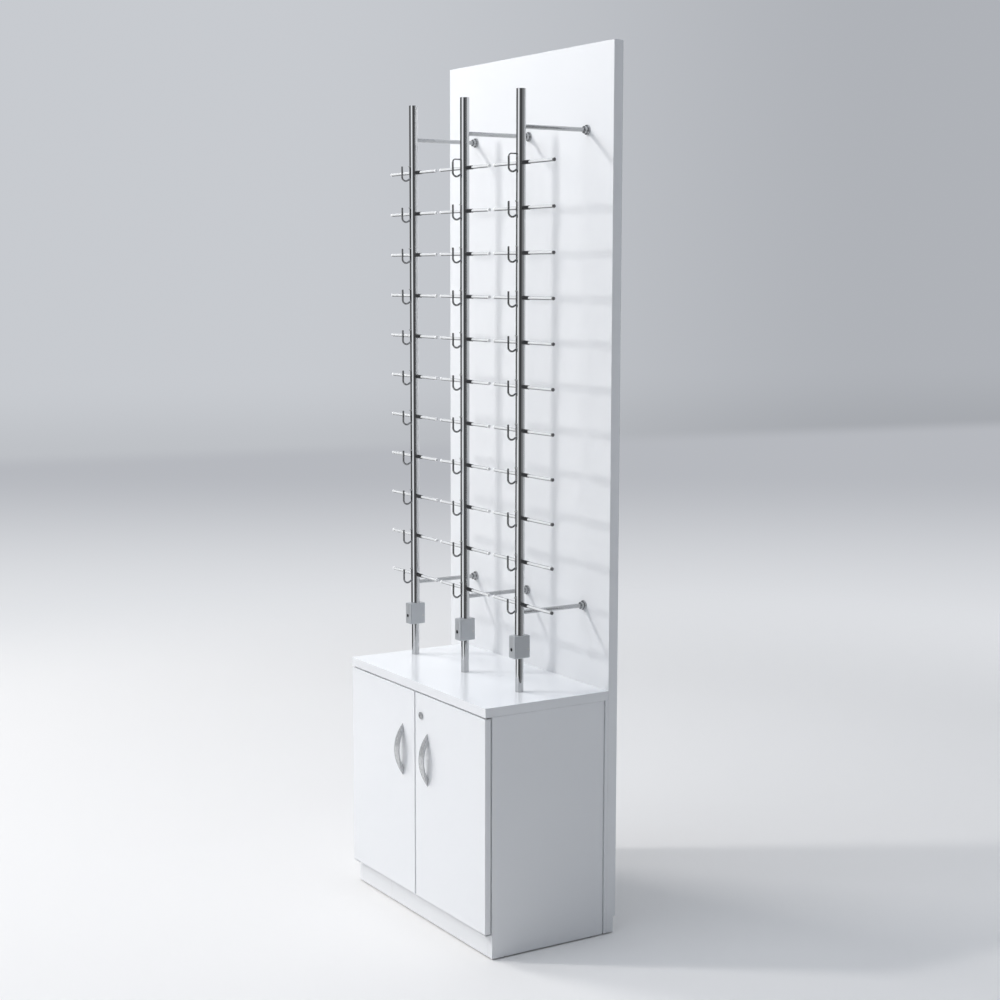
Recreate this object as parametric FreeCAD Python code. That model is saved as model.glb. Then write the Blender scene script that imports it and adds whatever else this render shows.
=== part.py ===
import FreeCAD, Part
import math
import os

# Eyewear display stand: a low cabinet with two doors, a tall panel behind it, and locking columns
# that carry hooks and clear arms. Millimetres, +Z up, the doors face -Y.
# Working places are counted from the cabinet's left face (X), from the front edges of its side
# panels (Y) and from the floor (Z). The finished frame has its origin at the bottom centre.

# Cabinet
cabinet_width = 646.0
cabinet_height = 586.0
side_depth = 308.0
board_thickness = 19.0
worktop_thickness = 22.0
back_board_thickness = 8.0
groove_depth = 6.0
groove_width = 5.0
bottom_panel_z = 60.0
plinth_thickness = 16.0
glide_height = 3.0
glide_diameter = 16.0
glide_nail_diameter = 4.0
glide_nail_length = 10.0
glide_chamfer = 0.6
glide_inset = 30.0
shelf_z = 310.0
shelf_thickness = 16.0
shelf_side_gap = 1.0
shelf_set_back = 22.0
shelf_rear_gap = 5.0
shelf_pin_diameter = 5.0
shelf_pin_length = 16.0
shelf_pin_inset = 45.0
board_edge_round = 0.8

# Tall panel behind the cabinet, wider than the cabinet on its left
tall_panel_height = 2063.0
tall_panel_thickness = 25.0
tall_panel_overhang = 79.0
tall_panel_foot_height = 41.0
tall_panel_foot_step = 6.0
panel_screw_diameter = 5.0
panel_screw_head_diameter = 9.0
panel_screw_head_height = 3.0
panel_screw_head_taper = 1.0
panel_screw_depth = 17.0
panel_screw_inset = 70.0

# Doors
door_thickness = 15.0
door_rear_gap = 3.0
door_top_gap = 3.5
door_bottom_gap = 2.0
door_middle_gap = 5.0
door_side_reveal = 1.5

# Door hinges: a pin above and below each door, near its outer edge
hinge_edge_distance = 6.0
hinge_forward = 0.5
hinge_pin_diameter = 5.0
hinge_pin_engagement = 13.0
hinge_bush_wall = 2.5
hinge_running_clearance = 0.05
hinge_plate_thickness = 2.0
hinge_plate_width = 30.0
hinge_plate_rim = 3.5
hinge_pin_end_gap = 1.0
hinge_plate_depth = 40.0

# Door handles
handle_length = 128.0
handle_projection = 18.0
handle_thickness = 3.0
handle_width = 22.0
handle_foot = 20.0
handle_leaf_overrun = 1.5
handle_screw_spacing = 96.0
handle_screw_diameter = 4.0
handle_screw_head_diameter = 8.0
handle_screw_head_height = 2.4
handle_screw_bite = 4.0
handle_from_gap = 60.0
handle_below_door_top = 153.0

# Door lock
lock_head_diameter = 16.5
lock_head_height = 3.5
lock_head_edge_round = 0.8
lock_body_diameter = 14.0
lock_plug_diameter = 10.0
lock_plug_clearance = 0.05
lock_from_door_edge = 29.0
lock_below_door_top = 51.0
lock_body_behind_door = 4.0
lock_cam_gap = 0.5
lock_cam_thickness = 2.0
lock_cam_width = 14.0
lock_cam_reach = 44.0
key_slot_width = 1.6
key_slot_length = 6.5
key_slot_depth = 2.5
strike_thickness = 2.0
strike_width = 24.0
strike_depth = 20.0
strike_overlap = 13.0
strike_cam_gap = 0.5

# Magnetic catches under the worktop
catch_length = 40.0
catch_height = 15.0
catch_depth = 25.0
catch_plate_thickness = 1.5
catch_plate_height = 11.0
catch_plate_below_edge = 1.0
catch_air_gap = 0.4
catch_corner_radius = 1.5
catch_from_gap = 92.0

# Columns
column_count = 3
column_left_margin = 51.0
column_right_margin = 103.0
column_set_back = 154.5
tube_diameter = 22.0
tube_wall = 1.5
post_diameter = 19.0
post_visible_length = 80.0
post_bolt_diameter = 8.0
post_bolt_bite = 20.0
post_bolt_head_diameter = 13.0
post_bolt_head_height = 5.5
tube_above_top_row = 161.0
cap_thickness = 1.5
cap_edge_round = 0.5
cap_plug_depth = 8.0

# Rows of hooks and arms on each column
row_count = 11
row_pitch = 100.0
lowest_row_above_lock_box = 73.0
arm_diameter = 8.0
arm_end_gap = 20.0
right_end_arm_reach = 136.0
arm_inner_end = 9.0
arm_end_chamfer = 0.5
collar_outer_diameter = 9.2
collar_length = 26.0
collar_chamfer = 0.35
hook_wire_diameter = 4.5
hook_mouth = 19.0
hook_bend_radius = 9.7
hook_tip_above_arm = 15.0
hook_bottom_below_arm = 20.2
hook_root_slope = 30.0
hook_root_inside_bore = 0.6
loop_wire_diameter = 3.2
loop_top_above_arm = 19.5
loop_bend_radius = 7.0
closed_loop_columns = (1, 2)

# Closing pins and the bar that drives them
pin_diameter = 3.0
pin_slot_clearance = 0.1
pin_stub = 3.5
pin_tail = 1.7
peg_radius = 1.0
peg_clearance = 0.1
peg_overlap_beyond_bar = 0.6
bar_thickness = 1.5
bar_pin_gap = 0.3
bar_bore_gap = 0.35
bar_slot_edge = 0.9
bar_travel = 10.0
bar_above_top_pin = 9.0

# Lock box on each column
lock_box_height = 53.0
lock_box_side_wall = 2.7
lock_box_front_extra = 11.0
lock_box_corner_radius = 5.0
lock_box_edge_round = 2.5
lock_box_front_wall = 4.0
lock_box_top_wall = 12.0
lock_box_floor = 10.0
chamber_side_gap = 1.0
barrel_above_box_bottom = 21.0
barrel_diameter = 8.4
barrel_clearance = 0.05
barrel_proud = 0.4
disc_thickness = 3.0
disc_rim = 1.0
disc_wall_gap = 0.3
crank_pin_diameter = 2.5
crank_slot_play = 0.5
crank_slot_end_play = 0.2
crank_pin_overrun = 1.0
crank_swing = 90.0
lug_rim = 1.4
lug_half_height = 4.2
lug_thickness = 1.5
post_inside_box = 11.0
box_cover_thickness = 2.5
box_cover_set_in = 0.8
box_nut_wall = 2.0
box_screw_diameter = 3.0
box_screw_head_diameter = 5.0
box_screw_head_height = 1.2
box_screw_length = 7.0
box_screw_behind_axis = 15.0

# Standoffs that tie the columns to the tall panel
standoff_diameter = 10.0
standoff_above_top_row = 79.5
standoff_below_lowest_row = 20.0
standoff_stud_diameter = 6.0
standoff_stud_length = 16.0
standoff_nut_diameter = 17.0
standoff_nut_length = 7.0
standoff_nut_round = 0.8
standoff_flange_diameter = 23.0
standoff_flange_thickness = 4.0
standoff_flange_round = 1.2

# Shared by several pieces
tip_round_share = 0.3
cut_overrun = 1.0

# Heights and depths that follow from the sizes above
carcass_top = cabinet_height - worktop_thickness
door_front_y = -(door_rear_gap + door_thickness)
panel_front_y = side_depth + back_board_thickness
panel_rear_y = panel_front_y + tall_panel_thickness
door_z0 = bottom_panel_z + door_bottom_gap
door_z1 = carcass_top - door_top_gap
gap_centre_x = cabinet_width / 2
hinge_y = -(door_rear_gap + door_thickness / 2 + hinge_forward)
handle_z = door_z1 - handle_below_door_top
lock_z = door_z1 - lock_below_door_top
lock_x = gap_centre_x + door_middle_gap / 2 + lock_from_door_edge

# Columns: places, bore and bar
column_pitch = (cabinet_width - column_left_margin - column_right_margin) / (column_count - 1)
column_xs = [column_left_margin + i * column_pitch for i in range(column_count)]
column_names = ("left", "middle", "right")
column_y = door_front_y + column_set_back
tube_r = tube_diameter / 2
bore_r = tube_r - tube_wall
box_z0 = cabinet_height + post_visible_length
box_z1 = box_z0 + lock_box_height
row_zs = [box_z1 + lowest_row_above_lock_box + i * row_pitch for i in range(row_count)]
tube_top = row_zs[-1] + tube_above_top_row
arm_reach = (column_pitch - arm_end_gap) / 2
bar_x0 = pin_diameter / 2 + bar_pin_gap
bar_x1 = bar_x0 + bar_thickness
bar_half_width = math.sqrt((bore_r - bar_bore_gap) ** 2 - bar_x1 ** 2)
pin_travel = 2 * (bar_half_width - bar_slot_edge - peg_radius - peg_clearance)
hook_leg_y = -(tube_r + hook_mouth + hook_wire_diameter / 2)

# Crank inside the lock box: it swings as far below level as above and lifts the bar by its travel
crank_radius = bar_travel / (2 * math.sin(math.radians(crank_swing / 2)))
barrel_z = box_z0 + barrel_above_box_bottom
crank_slot_end = crank_radius + crank_pin_diameter / 2 + crank_slot_end_play
lug_reach = crank_slot_end + lug_rim
chamber_half_width = lug_reach + chamber_side_gap
lock_box_width = 2 * (max(chamber_half_width, tube_r) + lock_box_side_wall)
lock_box_depth = tube_diameter + 2 * lock_box_front_extra

# The finished origin: bottom centre of the whole stand
stand_left = -tall_panel_overhang
stand_right = max(cabinet_width, column_xs[-1] + right_end_arm_reach)
stand_front = door_front_y - handle_projection
origin_x = (stand_left + stand_right) / 2
origin_y = (stand_front + panel_rear_y) / 2

ALONG_X = FreeCAD.Vector(1, 0, 0)
ALONG_Y = FreeCAD.Vector(0, 1, 0)
ALONG_Z = FreeCAD.Vector(0, 0, 1)


def at(x, y, z):
    """A point given in working places, in the finished frame."""
    return FreeCAD.Vector(x - origin_x, y - origin_y, z)


def block(x0, x1, y0, y1, z0, z1):
    return Part.makeBox(x1 - x0, y1 - y0, z1 - z0, at(x0, y0, z0))


def rod(diameter, length, start, direction):
    return Part.makeCylinder(diameter / 2, length, start, direction)


def ring(outer, inner, length, start, direction):
    return rod(outer, length, start, direction).cut(rod(inner, length, start, direction))


def rounded(solid, radius, wanted):
    """Round the edges for which wanted(edge) is true."""
    edges = [edge for edge in solid.Edges if wanted(edge)]
    return solid.makeFillet(radius, edges) if edges else solid


def is_along(edge, direction):
    if not isinstance(edge.Curve, Part.Line):
        return False
    return abs(abs(edge.Curve.Direction.dot(direction)) - 1) < 1e-6


def end_circles(solid):
    return [edge for edge in solid.Edges if isinstance(edge.Curve, Part.Circle)]


def softened(board):
    """A board with its twelve straight edges lightly rounded."""
    return rounded(board, board_edge_round, lambda edge: isinstance(edge.Curve, Part.Line))


def save(node, solids):
    shape = solids if isinstance(solids, Part.Shape) else Part.makeCompound(solids)
    shape.exportStep(os.path.join("parts", node + ".step"))


def mirrored_x(shape):
    """The same shape on the other side of the middle of the cabinet."""
    return shape.mirror(at(gap_centre_x, 0, 0), ALONG_X)


# Places of the repeated fastenings

def glide_places():
    side_xs = (board_thickness / 2, cabinet_width - board_thickness / 2)
    side_ys = (glide_inset, side_depth - groove_width - glide_inset)
    places = [(x, y) for x in side_xs for y in side_ys]
    foot_y = (panel_front_y + panel_rear_y - tall_panel_foot_step) / 2
    return places + [(x, foot_y) for x in (glide_inset - tall_panel_overhang, cabinet_width - glide_inset)]


def shelf_pin_places():
    z = shelf_z - shelf_pin_diameter / 2
    ys = (shelf_set_back + shelf_pin_inset, side_depth - shelf_pin_inset)
    return [(y, z) for y in ys]


def panel_screw_places():
    xs = (panel_screw_inset, cabinet_width - panel_screw_inset)
    zs = (bottom_panel_z + board_thickness + panel_screw_inset, carcass_top - panel_screw_inset)
    return [(x, z) for x in xs for z in zs]


def standoff_zs():
    return (row_zs[0] - standoff_below_lowest_row, row_zs[-1] + standoff_above_top_row)


# Cabinet boards

def glides():
    solids = []
    for x, y in glide_places():
        foot = rod(glide_diameter, glide_height, at(x, y, 0), ALONG_Z)
        floor_edge = min(end_circles(foot), key=lambda edge: edge.BoundBox.ZMin)
        foot = foot.makeChamfer(glide_chamfer, [floor_edge])
        solids.append(foot.fuse(glide_nail(x, y)).removeSplitter())
    return solids


def glide_nail(x, y):
    start_z = glide_height / 2
    return rod(glide_nail_diameter, glide_height + glide_nail_length - start_z, at(x, y, start_z), ALONG_Z)


def glide_nails():
    return [glide_nail(x, y) for x, y in glide_places()]


def side_panel(is_left):
    """A side panel with the shadow groove at its rear outer edge and holes for the shelf pins."""
    x0 = 0 if is_left else cabinet_width - board_thickness
    x1 = x0 + board_thickness
    board = block(x0, x1, 0, side_depth, glide_height, carcass_top)
    groove_x0 = x0 if is_left else x1 - groove_depth
    groove_y = side_depth - groove_width
    groove = block(groove_x0, groove_x0 + groove_depth, groove_y, side_depth, glide_height, carcass_top)
    return softened(board).cut([groove] + glide_nails() + shelf_pins(is_left))


def shelf_pins(is_left):
    inner_x = board_thickness if is_left else cabinet_width - board_thickness
    start_x = inner_x - shelf_pin_length / 2
    return [rod(shelf_pin_diameter, shelf_pin_length, at(start_x, y, z), ALONG_X)
            for y, z in shelf_pin_places()]


def bottom_panel():
    return block(board_thickness, cabinet_width - board_thickness, 0, side_depth,
                 bottom_panel_z, bottom_panel_z + board_thickness)


def plinth_board():
    board = block(board_thickness, cabinet_width - board_thickness, 0, plinth_thickness,
                  glide_height, bottom_panel_z)
    return board.cut([lower_hinge_plate(True), lower_hinge_plate(False)])


def back_board():
    board = softened(block(0, cabinet_width, side_depth, panel_front_y, glide_height, carcass_top))
    holes = [rod(panel_screw_diameter, back_board_thickness, at(x, side_depth, z), ALONG_Y)
             for x, z in panel_screw_places()]
    return board.cut(holes)


def worktop():
    """The worktop: flush with the door fronts, bored for the column bolts and let in for the hinges."""
    board = softened(block(0, cabinet_width, door_front_y, panel_front_y, carcass_top, cabinet_height))
    bolt_holes = [rod(post_bolt_diameter, worktop_thickness, at(x, column_y, carcass_top), ALONG_Z)
                  for x in column_xs]
    return board.cut(bolt_holes + [upper_hinge_plate(True), upper_hinge_plate(False)])


def shelf():
    x0 = board_thickness + shelf_side_gap
    return softened(block(x0, cabinet_width - x0, shelf_set_back, side_depth - shelf_rear_gap,
                          shelf_z, shelf_z + shelf_thickness))


# Tall panel

def tall_panel():
    board = block(-tall_panel_overhang, cabinet_width, panel_front_y, panel_rear_y,
                  glide_height, tall_panel_height)
    step = block(-tall_panel_overhang, cabinet_width, panel_rear_y - tall_panel_foot_step, panel_rear_y,
                 glide_height, tall_panel_foot_height)
    holes = [rod(panel_screw_diameter, panel_screw_depth, at(x, panel_front_y, z), ALONG_Y)
             for x, z in panel_screw_places()]
    for x in column_xs:
        for z in standoff_zs():
            holes.append(rod(standoff_stud_diameter, standoff_stud_length, at(x, panel_front_y, z), ALONG_Y))
    return softened(board.cut(step)).cut(holes + glide_nails())


def panel_screws():
    solids = []
    for x, z in panel_screw_places():
        rear_r = panel_screw_head_diameter / 2
        head = Part.makeCone(rear_r - panel_screw_head_taper, rear_r, panel_screw_head_height,
                             at(x, side_depth - panel_screw_head_height, z), ALONG_Y)
        shank = rod(panel_screw_diameter, back_board_thickness + panel_screw_depth,
                    at(x, side_depth, z), ALONG_Y)
        solids.append(head.fuse(shank).removeSplitter())
    return solids


# Doors and their hinges

def door_span(is_left):
    half_gap = door_middle_gap / 2
    if is_left:
        return door_side_reveal, gap_centre_x - half_gap
    return gap_centre_x + half_gap, cabinet_width - door_side_reveal


def hinge_x(is_left):
    x0, x1 = door_span(is_left)
    return x0 + hinge_edge_distance if is_left else x1 - hinge_edge_distance


def handle_x(is_left):
    return gap_centre_x + (-handle_from_gap if is_left else handle_from_gap)


def door(is_left):
    x0, x1 = door_span(is_left)
    board = softened(block(x0, x1, door_front_y, -door_rear_gap, door_z0, door_z1))
    bush_diameter = hinge_pin_diameter + 2 * hinge_bush_wall
    cutters = [rod(bush_diameter, hinge_pin_engagement, at(hinge_x(is_left), hinge_y, z), ALONG_Z)
               for z in (door_z0, door_z1 - hinge_pin_engagement)]
    for z in handle_screw_zs():
        cutters.append(rod(handle_screw_diameter, door_thickness,
                           at(handle_x(is_left), door_front_y, z), ALONG_Y))
    if not is_left:
        cutters.append(rod(lock_body_diameter, door_thickness, at(lock_x, door_front_y, lock_z), ALONG_Y))
    return board.cut(cutters)


def hinge_bushes(is_left):
    outer = hinge_pin_diameter + 2 * hinge_bush_wall
    inner = hinge_pin_diameter + 2 * hinge_running_clearance
    return [ring(outer, inner, hinge_pin_engagement, at(hinge_x(is_left), hinge_y, z), ALONG_Z)
            for z in (door_z0, door_z1 - hinge_pin_engagement)]


def hinge_plate_outline(z0, z1):
    """Left-hand plate: a tongue in front of the side panel, widening behind it between the sides."""
    tongue_y = hinge_y - hinge_pin_diameter / 2 - hinge_plate_rim
    tongue = block(door_side_reveal, hinge_plate_width, tongue_y, 0, z0, z1)
    tail = block(board_thickness, hinge_plate_width, 0, hinge_plate_depth, z0, z1)
    return tongue.fuse(tail).removeSplitter()


def upper_hinge_plate(is_left):
    """Plate let into the underside of the worktop."""
    plate = hinge_plate_outline(carcass_top, carcass_top + hinge_plate_thickness)
    return plate if is_left else mirrored_x(plate)


def lower_hinge_plate(is_left):
    """Plate under the bottom panel, let into the top of the plinth."""
    plate = hinge_plate_outline(bottom_panel_z - hinge_plate_thickness, bottom_panel_z)
    return plate if is_left else mirrored_x(plate)


def hinge_pin(is_left, is_upper):
    x = hinge_x(is_left)
    if is_upper:
        z0 = door_z1 - hinge_pin_engagement + hinge_pin_end_gap
        z1 = carcass_top + hinge_plate_thickness
    else:
        z0 = bottom_panel_z - hinge_plate_thickness
        z1 = door_z0 + hinge_pin_engagement - hinge_pin_end_gap
    return rod(hinge_pin_diameter, z1 - z0, at(x, hinge_y, z0), ALONG_Z)


def hinge_pins():
    return [hinge_pin(is_left, is_upper) for is_left in (True, False) for is_upper in (True, False)]


def hinge_plates():
    pins = hinge_pins()
    plates = [upper_hinge_plate(True), upper_hinge_plate(False),
              lower_hinge_plate(True), lower_hinge_plate(False)]
    return [plate.cut(pins) for plate in plates]


# Handles: an arched strip, leaf-shaped from the front

def handle_screw_zs():
    return (handle_z - handle_screw_spacing / 2, handle_z + handle_screw_spacing / 2)


def arch(x, half_length, rise):
    """The area between the door and an arc of this rise, in the plane of X = x."""
    low, high = at(x, door_front_y, handle_z - half_length), at(x, door_front_y, handle_z + half_length)
    top = at(x, door_front_y - rise, handle_z)
    return Part.Face(Part.Wire([Part.Arc(low, top, high).toShape(), Part.LineSegment(high, low).toShape()]))


def handle(is_left):
    x = handle_x(is_left)
    half_width = handle_width / 2
    across = FreeCAD.Vector(handle_width, 0, 0)
    outer = arch(x - half_width, handle_length / 2, handle_projection).extrude(across)
    inner = arch(x - half_width, handle_length / 2 - handle_foot, handle_projection - handle_thickness)
    leaf_half = handle_length / 2 + handle_leaf_overrun
    low, high = (at(x, door_front_y, handle_z + side * leaf_half) for side in (-1, 1))
    leaf_sides = [Part.Arc(low, at(x + side * half_width, door_front_y, handle_z), high).toShape()
                  for side in (-1, 1)]
    leaf = Part.Face(Part.Wire(leaf_sides)).extrude(FreeCAD.Vector(0, -handle_projection - cut_overrun, 0))
    bow = outer.cut(inner.extrude(across)).common(leaf)
    return bow.cut(handle_screws(is_left))


def handle_screws(is_left):
    solids = []
    for z in handle_screw_zs():
        shank = rod(handle_screw_diameter, door_thickness + handle_screw_bite,
                    at(handle_x(is_left), door_front_y - handle_screw_bite, z), ALONG_Y)
        head = rod(handle_screw_head_diameter, handle_screw_head_height,
                   at(handle_x(is_left), -door_rear_gap, z), ALONG_Y)
        solids.append(shank.fuse(head).removeSplitter())
    return solids


# Door lock, its strike, and the magnetic catches

lock_body_rear_y = -door_rear_gap + lock_body_behind_door
cam_y0 = lock_body_rear_y + lock_cam_gap
cam_z_reach = lock_z + lock_cam_reach


def key_slot(x, y, z):
    """A slot for a key in a face at Y = y that looks towards -Y."""
    return block(x - key_slot_width / 2, x + key_slot_width / 2, y, y + key_slot_depth,
                 z - key_slot_length / 2, z + key_slot_length / 2)


def lock_housing():
    front_y = door_front_y - lock_head_height
    length = lock_head_height + door_thickness + lock_body_behind_door
    head = rod(lock_head_diameter, lock_head_height, at(lock_x, front_y, lock_z), ALONG_Y)
    head = head.makeFillet(lock_head_edge_round, [min(end_circles(head), key=lambda edge: edge.BoundBox.YMin)])
    body = rod(lock_body_diameter, door_thickness + lock_body_behind_door,
               at(lock_x, door_front_y, lock_z), ALONG_Y)
    bore = rod(lock_plug_diameter + 2 * lock_plug_clearance, length, at(lock_x, front_y, lock_z), ALONG_Y)
    return head.fuse(body).removeSplitter().cut(bore)


def lock_plug():
    front_y = door_front_y - lock_head_height
    length = cam_y0 + lock_cam_thickness - front_y
    plug = rod(lock_plug_diameter, length, at(lock_x, front_y, lock_z), ALONG_Y)
    return plug.cut([key_slot(lock_x, front_y, lock_z), lock_cam()])


def lock_cam():
    """The cam, pointing to +X while unlocked, with a tail that grips the plug's end."""
    half = lock_cam_width / 2
    blade = block(lock_x, lock_x + lock_cam_reach - half, cam_y0, cam_y0 + lock_cam_thickness,
                  lock_z - half, lock_z + half)
    ends = [rod(lock_cam_width, lock_cam_thickness, at(x, cam_y0, lock_z), ALONG_Y)
            for x in (lock_x, lock_x + lock_cam_reach - half)]
    return blade.fuse(ends).removeSplitter()


def lock_strike():
    """An angle under the worktop; the raised cam stands behind its lip."""
    lip_y1 = cam_y0 - strike_cam_gap
    lip_y0 = lip_y1 - strike_thickness
    x0, x1 = lock_x - strike_width / 2, lock_x + strike_width / 2
    lip = block(x0, x1, lip_y0, lip_y1, cam_z_reach - strike_overlap, carcass_top)
    flange = block(x0, x1, lip_y0, lip_y0 + strike_depth, carcass_top - strike_thickness, carcass_top)
    return lip.fuse(flange).removeSplitter()


def catch_x(is_left):
    return gap_centre_x + (-catch_from_gap if is_left else catch_from_gap)


def catch_magnets():
    y0 = -door_rear_gap + catch_plate_thickness + catch_air_gap
    solids = []
    for is_left in (True, False):
        x = catch_x(is_left)
        body = block(x - catch_length / 2, x + catch_length / 2, y0, y0 + catch_depth,
                     carcass_top - catch_height, carcass_top)
        solids.append(rounded(body, catch_corner_radius, lambda edge: is_along(edge, ALONG_Z)))
    return solids


def catch_plate(is_left):
    x = catch_x(is_left)
    z1 = door_z1 - catch_plate_below_edge
    return block(x - catch_length / 2, x + catch_length / 2, -door_rear_gap,
                 -door_rear_gap + catch_plate_thickness, z1 - catch_plate_height, z1)


# Columns: posts, tubes and caps

def post_bolt(x):
    head_z = carcass_top - post_bolt_head_height
    corner = post_bolt_head_diameter / 2 / math.cos(math.radians(30))
    turns = [math.radians(60 * i) for i in range(7)]
    points = [at(x + corner * math.cos(turn), column_y + corner * math.sin(turn), head_z) for turn in turns]
    head = Part.Face(Part.makePolygon(points)).extrude(FreeCAD.Vector(0, 0, post_bolt_head_height))
    shank = rod(post_bolt_diameter, worktop_thickness + post_bolt_bite, at(x, column_y, carcass_top), ALONG_Z)
    return head.fuse(shank).removeSplitter()


def post(x):
    bar = rod(post_diameter, post_visible_length + post_inside_box, at(x, column_y, cabinet_height), ALONG_Z)
    return bar.cut(post_bolt(x))


def tube(x, is_looped):
    """A tube with, for each row, a slot for the closing pin, a hole for the hook and two for the arms."""
    z0 = box_z1 - lock_box_top_wall
    body = ring(tube_diameter, 2 * bore_r, tube_top - z0, at(x, column_y, z0), ALONG_Z)
    cutters = []
    for row, z in enumerate(row_zs):
        cutters.append(pin_slot(x, z))
        cutters.append(hook(x, z, is_looped and row == row_count - 1))
        cutters.append(rod(arm_diameter, tube_diameter, at(x - tube_r, column_y, z), ALONG_X))
    for z in standoff_zs():
        cutters.append(rod(standoff_diameter, tube_r, at(x, column_y, z), ALONG_Y))
    return body.cut(cutters)


def pin_slot(x, z):
    """The upright slot in the tube's front: its round top end guides the closing pin."""
    width = pin_diameter + 2 * pin_slot_clearance
    z1 = z + hook_tip_above_arm
    z0 = z - hook_bottom_below_arm + hook_wire_diameter
    front_y = column_y - tube_r - cut_overrun
    body = block(x - width / 2, x + width / 2, front_y, column_y, z0, z1)
    end = rod(width, column_y - front_y, at(x, front_y, z1), ALONG_Y)
    return body.fuse(end).removeSplitter()


def column_cap(x):
    cover = rod(tube_diameter, cap_thickness, at(x, column_y, tube_top), ALONG_Z)
    cover = cover.makeFillet(cap_edge_round, [max(end_circles(cover), key=lambda edge: edge.BoundBox.ZMin)])
    plug = rod(2 * bore_r, cap_plug_depth, at(x, column_y, tube_top - cap_plug_depth), ALONG_Z)
    return cover.fuse(plug).removeSplitter()


# Hooks, arms and collars

def wire_along(edges, diameter, start, direction):
    """A round wire swept along joined edges."""
    circle = Part.Wire([Part.makeCircle(diameter / 2, start, direction)])
    return Part.Wire(edges).makePipeShell([circle], True, False)


def hook(x, z, is_looped):
    """A J-shaped hook from the tube's front; a looped one runs on from its tip back to the tube."""
    slope = math.radians(hook_root_slope)
    centre_y = hook_leg_y + hook_bend_radius
    centre_z = z - hook_bottom_below_arm + hook_bend_radius
    bend_end = (centre_y + hook_bend_radius * math.sin(slope), centre_z - hook_bend_radius * math.cos(slope))
    root_y = -bore_r + hook_root_inside_bore
    wire_end_y = root_y + hook_wire_diameter / 2
    wire_end_z = bend_end[1] + (wire_end_y - bend_end[0]) * math.tan(slope)

    def point(y, height):
        return at(x, column_y + y, height)

    tip_z = z + (loop_top_above_arm - loop_bend_radius if is_looped else hook_tip_above_arm)
    tip = point(hook_leg_y, tip_z)
    leg_foot = point(hook_leg_y, centre_z)
    low = point(centre_y, centre_z - hook_bend_radius)
    edges = [
        Part.LineSegment(tip, leg_foot).toShape(),
        Part.Arc(leg_foot, low, point(*bend_end)).toShape(),
        Part.LineSegment(point(*bend_end), point(wire_end_y, wire_end_z)).toShape(),
    ]
    wire = wire_along(edges, hook_wire_diameter, tip, ALONG_Z)
    if is_looped:
        wire = wire.fuse([Part.makeSphere(hook_wire_diameter / 2, tip), loop_return(x, z, tip_z)])
    else:
        wire = wire.makeFillet(hook_wire_diameter * tip_round_share, [tip_edge(wire, tip_z)])
    inside = block(x - tube_r, x + tube_r, column_y + root_y, column_y + tube_r, z - row_pitch, z + row_pitch)
    return wire.cut(inside).removeSplitter()


def tip_edge(wire, tip_z):
    return next(edge for edge in wire.Edges if edge.BoundBox.ZMin > tip_z - 0.01)


def loop_return(x, z, tip_z):
    """The thinner wire that closes a looped hook, from its tip over to the tube."""
    top_z = z + loop_top_above_arm
    tip = at(x, column_y + hook_leg_y, tip_z)
    middle = at(x, column_y + hook_leg_y + loop_bend_radius * (1 - math.cos(math.radians(45))),
                tip_z + loop_bend_radius * math.sin(math.radians(45)))
    over = at(x, column_y + hook_leg_y + loop_bend_radius, top_z)
    end = at(x, column_y, top_z)
    edges = [Part.Arc(tip, middle, over).toShape(), Part.LineSegment(over, end).toShape()]
    return wire_along(edges, loop_wire_diameter, tip, ALONG_Z)


def arms(x):
    """Clear arms to both sides of a column; those at the stand's right end are longer."""
    right_reach = right_end_arm_reach if x == column_xs[-1] else arm_reach
    solids = []
    for z in row_zs:
        for side, reach in ((-1, arm_reach), (1, right_reach)):
            start = at(x + side * arm_inner_end, column_y, z)
            solid = rod(arm_diameter, reach - arm_inner_end, start, ALONG_X * side)
            solids.append(solid.makeChamfer(arm_end_chamfer, end_circles(solid)))
    return solids


def collars():
    """Black collars round the right-hand arms, shaped to sit against the tubes."""
    solids = []
    for x in column_xs:
        column = rod(tube_diameter, tube_top, at(x, column_y, 0), ALONG_Z)
        for z in row_zs:
            length = tube_r + collar_length
            sleeve = rod(collar_outer_diameter, length, at(x, column_y, z), ALONG_X)
            outer_edge = max(end_circles(sleeve), key=lambda edge: edge.BoundBox.XMin)
            sleeve = sleeve.makeChamfer(collar_chamfer, [outer_edge])
            sleeve = sleeve.cut(rod(arm_diameter, length, at(x, column_y, z), ALONG_X))
            solids.append(sleeve.cut(column))
    return solids


# Closing pins and locking bar

peg_y = pin_travel / 2
barrel_rest_angle = -crank_swing / 2


def closing_pins(x, is_looped):
    """Pins that slide out towards the hook tips, each with a peg in a slanted slot of the bar."""
    rows = row_zs[:-1] if is_looped else row_zs
    solids = []
    for z in rows:
        pin_z = z + hook_tip_above_arm
        front_y = -(tube_r + pin_stub)
        length = peg_y + pin_tail - front_y
        body = rod(pin_diameter, length, at(x, column_y + front_y, pin_z), ALONG_Y)
        front_edge = min(end_circles(body), key=lambda edge: edge.BoundBox.YMin)
        body = body.makeFillet(pin_diameter * tip_round_share, [front_edge])
        peg = rod(2 * peg_radius, bar_x1 + peg_overlap_beyond_bar, at(x, column_y + peg_y, pin_z), ALONG_X)
        solids.append(body.fuse(peg).removeSplitter())
    return solids


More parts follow.
